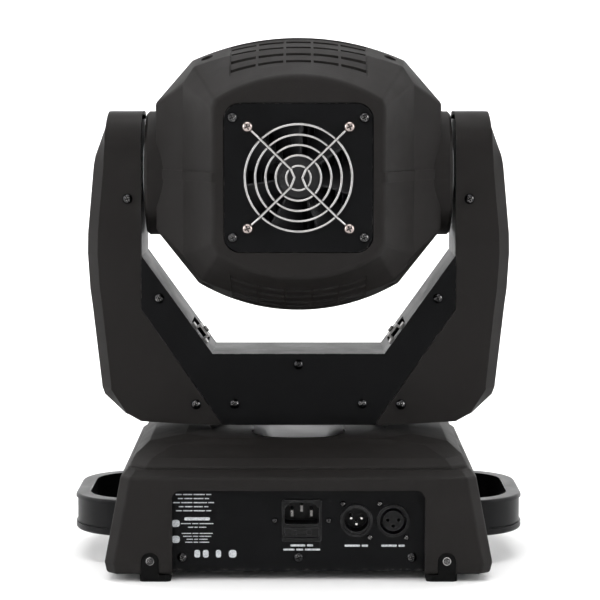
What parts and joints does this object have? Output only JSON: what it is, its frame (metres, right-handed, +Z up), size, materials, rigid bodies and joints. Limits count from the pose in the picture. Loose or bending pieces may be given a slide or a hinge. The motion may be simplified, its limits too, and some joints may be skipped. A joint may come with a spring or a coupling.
{
  "type": "moving head light",
  "caption": "Motorised stage light: faceted head with a rear fan and front lens, tilting in a U-shaped yoke that pans on a base with carrying handles and rear sockets.",
  "frame": {"origin": "on the pan axis, in the plane that the rubber feet stand on", "axes": "+Z up along the pan axis; the fan and the connector panel face -Y, the lens faces +Y at rest; the tilt axis is parallel to X"},
  "size_m": [0.331, 0.25, 0.3825],
  "materials": {
    "shell_plastic": "fine spark-eroded texture, soft sheen",
    "handle_plastic": "smooth satin black",
    "black_steel": "fine black powder coat",
    "plain_steel": "zinc plated sheet",
    "turned_aluminium": "turned, satin",
    "foot_rubber": "matt moulded rubber",
    "belt_rubber": "toothed neoprene",
    "connector_plastic": "moulded black nylon",
    "fan_plastic": "moulded black polyester",
    "bright_chrome": "polished plating",
    "black_screw": "black oxide, slightly oily",
    "clear_glass": "clear, polished",
    "tinted_window": "smoked acrylic",
    "button_plastic": "satin keycap",
    "circuit_board": "green solder mask",
    "motor_steel": "lacquered laminations",
    "led_ceramic": "white board with a phosphor dome",
    "wheel_steel": "thin sheet with filters"
  },
  "bodies": {
    "base": {"base_cover_lower": "shell_plastic", "base_cover_upper": "shell_plastic", "base_tray": "black_steel", "rear_panel": "black_steel", "iec_inlet": "connector_plastic", "xlr_input": "connector_plastic", "xlr_output": "connector_plastic", "feet": "foot_rubber", "handle_left": "handle_plastic", "handle_right": "handle_plastic", "base_screws": "black_screw", "control_panel": "shell_plastic", "display_window": "tinted_window", "power_supply": "plain_steel", "base_boards": "circuit_board", "pan_column": "turned_aluminium", "pan_pulley": "turned_aluminium"},
    "yoke": {"yoke_band": "black_steel", "yoke_plate_rear": "black_steel", "yoke_plate_front": "black_steel", "yoke_spacers": "plain_steel", "yoke_turntable": "plain_steel", "arm_cover_left": "shell_plastic", "arm_cover_right": "shell_plastic", "yoke_screws": "black_screw", "cable_clips": "bright_chrome", "bearings": "plain_steel", "pan_motor": "motor_steel", "pan_belt": "belt_rubber", "tilt_motor": "motor_steel", "tilt_belt": "belt_rubber", "driver_board": "circuit_board"},
    "head": {"head_shell_top": "shell_plastic", "head_shell_bottom": "shell_plastic", "head_screws": "black_screw", "head_chassis": "plain_steel", "trunnions": "plain_steel", "tilt_pulley": "turned_aluminium", "rear_plate": "black_steel", "fan_guard": "bright_chrome", "fan_guard_screws": "bright_chrome", "fan_frame": "fan_plastic", "heat_sink": "turned_aluminium", "led_module": "led_ceramic", "condenser_lens": "clear_glass", "wheel_motors": "motor_steel", "front_bezel": "shell_plastic", "front_lens": "clear_glass"},
    "pan_motor_pulley": {"pan_motor_pulley": "turned_aluminium"},
    "tilt_motor_pulley": {"tilt_motor_pulley": "turned_aluminium"},
    "fan_rotor": {"fan_rotor": "fan_plastic"},
    "color_wheel": {"color_wheel": "wheel_steel"},
    "gobo_wheel": {"gobo_wheel": "wheel_steel"},
    "focus_carriage": {"focus_carriage": "turned_aluminium", "focus_lens": "clear_glass"},
    "fuse_drawer": {"fuse_drawer": "connector_plastic"},
    "button_menu": {"button_menu": "button_plastic"},
    "button_down": {"button_down": "button_plastic"},
    "button_up": {"button_up": "button_plastic"},
    "button_enter": {"button_enter": "button_plastic"}
  },
  "joints": [
    {"name": "pan", "type": "hinge", "parent": "base", "child": "yoke", "pos_m": [0, 0, 0.1], "axis": [0, 0, 1], "range_deg": [-270, 270]},
    {"name": "tilt", "type": "hinge", "parent": "yoke", "child": "head", "pos_m": [0, 0, 0.283], "axis": [1, 0, 0], "range_deg": [-45, 225]},
    {"name": "pan_motor_spin", "type": "hinge", "parent": "yoke", "child": "pan_motor_pulley", "pos_m": [0.054, 0, 0.123], "axis": [0, 0, 1], "range_deg": [-1020, 1020]},
    {"name": "tilt_motor_spin", "type": "hinge", "parent": "yoke", "child": "tilt_motor_pulley", "pos_m": [-0.124, 0, 0.215], "axis": [1, 0, 0], "range_deg": [-120, 570]},
    {"name": "fan_spin", "type": "hinge", "parent": "head", "child": "fan_rotor", "pos_m": [0, -0.092, 0.2835], "axis": [0, 1, 0], "continuous": true},
    {"name": "color_wheel_spin", "type": "hinge", "parent": "head", "child": "color_wheel", "pos_m": [0.038, -0.003, 0.283], "axis": [0, 1, 0], "continuous": true},
    {"name": "gobo_wheel_spin", "type": "hinge", "parent": "head", "child": "gobo_wheel", "pos_m": [-0.038, 0.005, 0.283], "axis": [0, 1, 0], "continuous": true},
    {"name": "focus_slide", "type": "slide", "parent": "head", "child": "focus_carriage", "axis": [0, 1, 0], "range_m": [-0.014, 0.014]},
    {"name": "fuse_drawer_slide", "type": "slide", "parent": "base", "child": "fuse_drawer", "axis": [0, -1, 0], "range_m": [0, 0.016]},
    {"name": "button_menu_press", "type": "slide", "parent": "base", "child": "button_menu", "axis": [0, -1, 0], "range_m": [0, 0.0012], "stiffness_N_per_m": 900, "springref_m": -0.0004},
    {"name": "button_down_press", "type": "slide", "parent": "base", "child": "button_down", "axis": [0, -1, 0], "range_m": [0, 0.0012], "stiffness_N_per_m": 900, "springref_m": -0.0004},
    {"name": "button_up_press", "type": "slide", "parent": "base", "child": "button_up", "axis": [0, -1, 0], "range_m": [0, 0.0012], "stiffness_N_per_m": 900, "springref_m": -0.0004},
    {"name": "button_enter_press", "type": "slide", "parent": "base", "child": "button_enter", "axis": [0, -1, 0], "range_m": [0, 0.0012], "stiffness_N_per_m": 900, "springref_m": -0.0004}
  ],
  "couplings": [
    {"joint": "pan_motor_spin", "follows": "pan", "ratio": -3.75},
    {"joint": "tilt_motor_spin", "follows": "tilt", "ratio": 2.5}
  ]
}
